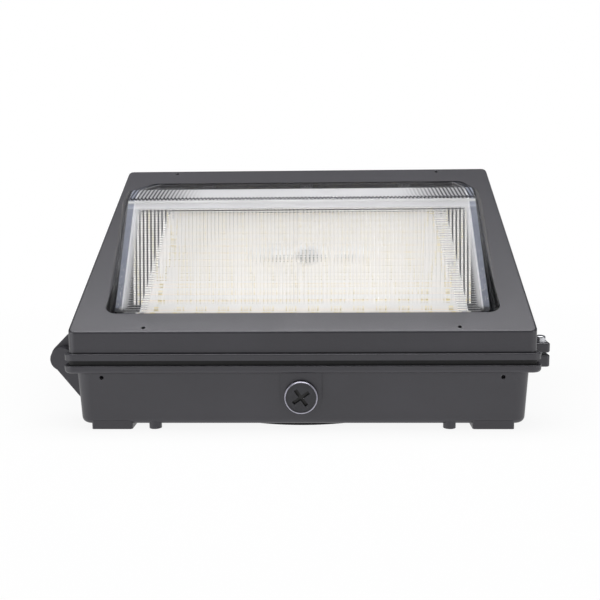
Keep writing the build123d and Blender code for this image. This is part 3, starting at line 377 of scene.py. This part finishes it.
class Lens:
    """Coordinates of the lens as sockets of its shader."""

    def __init__(self, s):
        self.x, minus_v, self.u = face_axes(s)
        self.v = s.times(minus_v, -1.0)
        self.across = s.math("ABSOLUTE", self.x)
        drafted = s.math("MULTIPLY_ADD", self.v, DRAFT, self.across)
        self.side = s.math("SUBTRACT", drafted, ARRIS)      # from the arris, outward
        cosine, sine = math.cos(FACET), math.sin(FACET)
        self.climb = s.math("ADD", s.times(self.u, cosine), s.times(self.v, sine))
        along = s.times(s.math("SUBTRACT", self.u, FACET_FOOT), sine)
        depth = s.math("SUBTRACT", along, s.times(self.v, cosine))
        self.skin = s.band(depth, 0.0, SKIN_HALF)
        self.on_facet = s.times(self.skin, s.step(self.side, *FACET_ENDS))
        self.cross_ribs = s.wave(self.climb, CROSS_RIB)

    def from_ridge(self, s, marks):
        return s.step(self.u, RIDGE_U + marks[0], RIDGE_U + marks[1])


def ripples(s, lens):
    """Normal of the outer skin: shallow flutes up the facet and fine ribs across it."""
    flutes = s.wave(s.math("SUBTRACT", lens.across, FLUTE_FLAT), FLUTE)
    rippled = s.times(lens.skin, s.step(lens.side, *RIPPLE_ENDS))
    lean = s.times(flutes, rippled, RIPPLE_LEAN)
    rib = s.times(lens.cross_ribs, lens.on_facet, RIB_LEAN)
    up_facet = (0.0, -math.sin(FACET + SLOPE), math.cos(FACET + SLOPE))
    normal = s.push(s.add("NewGeometry").outputs["Normal"], lean, (1.0, 0.0, 0.0))
    return s.push(normal, rib, up_facet)


def halo_and_pips(s, lens):
    """Painted glow on the middle of the facet, and in it a grid of grey pip marks painted as the
    connector seen through the flutes.
    """
    sideways = s.times(s.math("SUBTRACT", lens.x, PIPS_X), 1.0 / PIPS_HALF_X)
    upwards = s.times(s.math("SUBTRACT", lens.climb, PIPS_CLIMB), 1.0 / PIPS_HALF_CLIMB)
    away = s.math("ADD", s.times(sideways, sideways), s.times(upwards, upwards))
    columns = s.times(s.wave(s.math("SUBTRACT", lens.x, PIPS_PHASE), FLUTE), 0.5)
    cells = s.math("ADD", columns, s.times(lens.cross_ribs, 0.5))
    halo = s.times(s.step(away, 2.6, 0.6), lens.skin)
    pip_image = s.times(s.step(cells, 0.15, 0.55), s.step(away, 1.15, 0.85))
    return halo, pip_image


def side_dots(s, lens):
    """Painted light in the facet's flutes beside the board: pale dots along its cross ribs."""
    board_side = s.math("MULTIPLY_ADD", lens.v, DOTS_SLANT, lens.side)
    beside = s.times(s.step(board_side, *DOTS_INNER), lens.on_facet)
    return s.times(s.math("MULTIPLY_ADD", lens.cross_ribs, 0.5, 0.5), beside, DOTS_PALE)


def glass():
    """Clear glass with painted light and shade: highlights on its arrises and ridge, glow beside
    the arrises and on the facet, pale dots in the flutes, and a pale grey strip with dark shade
    in its ribs; light partly passes through these pale places.
    """
    s = Shader("prismatic_glass")
    lens = Lens(s)
    s.paint(Normal=ripples(s, lens))
    s.put(
        Base_Color=(0.90, 0.905, 0.915, 1.0), Roughness=0.02, IOR=1.49, Transmission_Weight=1.0
    )
    halo, pip_image = halo_and_pips(s, lens)

    # arris, with a bluish band painted as the glow along its thick edge, a painted highlight on
    # its outer edge, a painted highlight line inside it, painted glow beside it and painted
    # glints low on the lens
    outside = s.step(lens.side, *OUTSIDE)
    within = s.step(lens.side, *reversed(OUTSIDE))
    arris = s.times(s.step(lens.side, *ARRIS_INNER), within)
    outline_highlight = s.band(lens.side, *OUTLINE)
    edge_highlight = s.band(lens.side, *EDGE_HIGHLIGHT)
    glow = s.times(s.step(lens.side, *GLOW_INNER), s.step(lens.side, *GLOW_OUTER))
    glow_cloud = s.noise(140.0, 4.0, 0.6)
    # painted glow along the thick edge: the arris painted pale, unevenly
    arris_glow = s.times(arris, s.math("MULTIPLY_ADD", glow_cloud, 0.40, 0.30))
    # painted glints: white specks in the arris, low on the lens
    glint_noise = s.noise(420.0, 3.0, 0.7, s.mapped(Scale=(1.0, 0.35, 0.35)), 1.5)
    low_glints = s.times(s.step(glint_noise, 0.56, 0.62), s.step(lens.u, *GLINT_REACH))

    # ridge, with painted highlights on its line and along its top, and behind it the strip,
    # painted pale grey, with painted dark shade in its ribs and along a saw-toothed line
    before = lens.from_ridge(s, BEFORE_RIDGE)
    crest_highlight = s.times(s.step(lens.v, *CREST), before)
    ridge_highlight = s.times(lens.from_ridge(s, RIDGE_HIGHLIGHT), before)
    strip = s.times(s.step(lens.v, *STRIP), lens.from_ridge(s, BEHIND_RIDGE))
    saw = s.math("MULTIPLY_ADD", s.wave(lens.x, FLUTE), SAW_DEPTH, SAW_U)
    saw_shade = s.times(s.band(s.math("SUBTRACT", lens.u, saw), 0.0, SAW_HALF), strip)
    leaning = s.wave(s.math("MULTIPLY_ADD", lens.u, STRIP_SLANT, lens.across), FLUTE)
    rib_shade = s.math("MULTIPLY_ADD", leaning, 0.5, 0.5)
    rib_shade = s.times(rib_shade, s.step(lens.side, *STRIP_RIB_ENDS))

    amount = s.most(arris_glow, edge_highlight, s.times(outline_highlight, OUTLINE_PALE), s.times(glow, GLOW_PALE))
    amount = s.most(
        s.times(amount, s.step(lens.v, *FOOT)),
        s.times(crest_highlight, CREST_PALE),
        s.times(strip, STRIP_PALE),
        ridge_highlight,
        s.times(halo, s.math("MULTIPLY_ADD", pip_image, 0.34, 0.16)),
        side_dots(s, lens),
    )
    amount = s.times(amount, within)

    tone = s.mix(strip, srgb(250, 250, 252), srgb(226, 226, 228))
    for place, colour in (
        (halo, srgb(246, 248, 255)),
        (s.times(pip_image, halo), srgb(120, 122, 130)),
        (arris, srgb(184, 189, 203)),
        (s.most(edge_highlight, s.times(low_glints, arris)), srgb(252, 252, 255)),
        (ridge_highlight, srgb(255, 255, 255)),
        # painted shade: the dark saw-toothed line and the dark ribs of the strip
        (saw_shade, srgb(66, 66, 72)),
        (s.times(rib_shade, strip), srgb(58, 58, 66)),
    ):
        tone = s.mix(place, tone, colour)
    skinned, lit_through = s.add("BsdfDiffuse"), s.add("BsdfTranslucent")
    s.link(tone, skinned.inputs["Color"])
    s.link(tone, lit_through.inputs["Color"])
    pale = s.blend(LIT_THROUGH, skinned.outputs["BSDF"], lit_through.outputs["BSDF"])
    pale_painted = s.blend(amount, s.bsdf.outputs["BSDF"], pale)

    # the long front and the rim are mostly clear, and light falls through the whole lens
    clear = s.add("BsdfTransparent", Color=(0.80, 0.805, 0.815, 1.0))
    see = s.most(
        s.times(s.step(lens.u, *FRONT), FRONT_CLEAR),
        s.times(outside, OUTSIDE_CLEAR),
        s.add("LightPath").outputs["Is Shadow Ray"],
    )
    s.link(s.blend(see, pale_painted, clear.outputs["BSDF"]), s.out.inputs["Surface"])
    return s.mat


FINISH = {
    "graphite_casting": powder_coat(),
    "prismatic_glass": glass(),
    "black_rubber": speckled(
        "silicone_rubber", srgb(20, 20, 21), srgb(30, 30, 31), 0.7, 700.0, 0.00005
    ),
    "black_foam": speckled(
        "closed_cell_foam", srgb(22, 22, 23), srgb(40, 40, 41), 0.92, 380.0, 0.0002
    ),
    "stainless": turned_metal("stainless_steel", srgb(205, 206, 210), 0.28, 900.0),
    "zinc_steel": turned_metal("zinc_plated_steel", srgb(188, 190, 196), 0.36, 700.0),
    "white_sheet": plastic("white_coated_sheet", srgb(232, 231, 228), 0.5, 500.0),
    "white_board": board(),
    "phosphor": plastic("yellow_phosphor", srgb(242, 224, 168), 0.5, 800.0),
    "white_nylon": plastic("white_nylon", srgb(236, 236, 234), 0.5, 500.0),
    "driver_shell": turned_metal("extruded_aluminium", srgb(190, 192, 195), 0.42, 300.0),
    "black_nylon": plastic("black_nylon", srgb(28, 28, 30), 0.5, 600.0),
    "green_screw": plastic("green_dyed_steel", srgb(46, 120, 62), 0.35, 500.0),
    "tinned_brass": turned_metal("tinned_brass", srgb(196, 188, 160), 0.32, 500.0),
    "black_insulation": plastic("black_insulation", srgb(26, 26, 27), 0.4),
    "white_insulation": plastic("white_insulation", srgb(226, 226, 224), 0.4),
    "green_insulation": plastic("green_insulation", srgb(38, 110, 52), 0.4),
    "red_insulation": plastic("red_insulation", srgb(170, 30, 28), 0.4),
    "blue_insulation": plastic("blue_insulation", srgb(38, 60, 150), 0.4),
}

for entry in frame["record"]["subparts"]:
    materials = frame["nodes"][entry["node"]].data.materials
    materials.clear()
    materials.append(FINISH.get(entry["material_slot"]) or cast_plug(entry["node"]))


# ------------------------------------------------------------------ wall, lights and camera
def add_object(name, data):
    obj = bpy.data.objects.new(name, data)
    bpy.context.scene.collection.objects.link(obj)
    return obj


def wall():
    """Pale wall behind the pads: white from the front with a soft shadow, clear from behind."""
    mesh = bpy.data.meshes.new("wall")
    signs = ((-1, -1), (1, -1), (1, 1), (-1, 1))
    corners = [(x * WALL_HALF, WALL_Y, z * WALL_HALF) for x, z in signs]
    mesh.from_pydata(corners, [], [(0, 1, 2, 3)])
    obj = add_object("wall", mesh)
    s = Shader("pale_wall")
    s.put(Base_Color=(0.86, 0.86, 0.86, 1.0), Roughness=0.9, Specular_IOR_Level=0.0)
    bright = s.add("Emission", Color=WHITE, Strength=1.0)
    path = s.add("LightPath").outputs
    sees = s.most(path["Is Camera Ray"], path["Is Transmission Ray"], path["Is Glossy Ray"])
    away = s.add("VectorMath", "LENGTH")
    s.link(s.coords, away.inputs[0])
    fade = s.add("MapRange", From_Min=0.25, From_Max=0.7, To_Min=0.9, To_Max=1.0)
    s.link(away.outputs["Value"], fade.inputs["Value"])
    share = s.times(sees, fade.outputs["Result"])
    lit = s.blend(share, s.bsdf.outputs["BSDF"], bright.outputs["Emission"])
    behind = s.add("NewGeometry").outputs["Backfacing"]
    clear = s.add("BsdfTransparent").outputs["BSDF"]
    s.link(s.blend(behind, lit, clear), s.out.inputs["Surface"])
    mesh.materials.append(s.mat)


def world():
    """Dim sky that lights the scene, white where it is seen."""
    sky = bpy.data.worlds.new("studio")
    bpy.context.scene.world = sky
    sky.use_nodes = True
    tree = sky.node_tree
    tree.nodes.clear()
    blend = tree.nodes.new("ShaderNodeMixShader")
    for index, (colour, strength) in enumerate(((SKY, SKY_STRENGTH), (WHITE, 1.0)), 1):
        background = tree.nodes.new("ShaderNodeBackground")
        background.inputs["Color"].default_value = colour
        background.inputs["Strength"].default_value = strength
        tree.links.new(background.outputs[0], blend.inputs[index])
    path = tree.nodes.new("ShaderNodeLightPath")
    sees = tree.nodes.new("ShaderNodeMath")
    sees.operation = "MAXIMUM"
    tree.links.new(path.outputs["Is Camera Ray"], sees.inputs[0])
    tree.links.new(path.outputs["Is Transmission Ray"], sees.inputs[1])
    tree.links.new(sees.outputs[0], blend.inputs["Fac"])
    out = tree.nodes.new("ShaderNodeOutputWorld")
    tree.links.new(blend.outputs[0], out.inputs["Surface"])


def lamp(name, place, aim, size, watts):
    data = bpy.data.lights.new(name, "AREA")
    data.shape = "RECTANGLE"
    data.size, data.size_y = size
    data.energy = watts
    obj = add_object(name, data)
    obj.location = place
    obj.rotation_mode = "QUATERNION"
    obj.rotation_quaternion = (Vector(aim) - Vector(place)).to_track_quat("-Z", "Y")


def camera():
    """Stands below the light and looks up along the wall, as the photograph does."""
    data = bpy.data.cameras.new("camera")
    data.sensor_width = SENSOR
    data.lens = FOCAL_SHARE * SENSOR
    data.clip_start, data.clip_end = 0.05, 20.0
    obj = add_object("camera", data)
    yaw, pitch, roll = (math.radians(angle) for angle in CAMERA_TURN)
    level = math.cos(pitch)
    ahead = Vector((math.sin(yaw) * level, math.sin(pitch), math.cos(yaw) * level))
    right = Vector((math.cos(yaw), 0.0, -math.sin(yaw)))
    up = right.cross(ahead)
    turn = Matrix((right, up, -ahead)).transposed() @ Matrix.Rotation(roll, 3, "Z")
    obj.matrix_world = Matrix.Translation(CAMERA_PLACE) @ turn.to_4x4()
    bpy.context.scene.camera = obj


wall()
world()
for row in LAMPS:
    lamp(*row)
camera()
bpy.context.scene.view_settings.view_transform = "Standard"
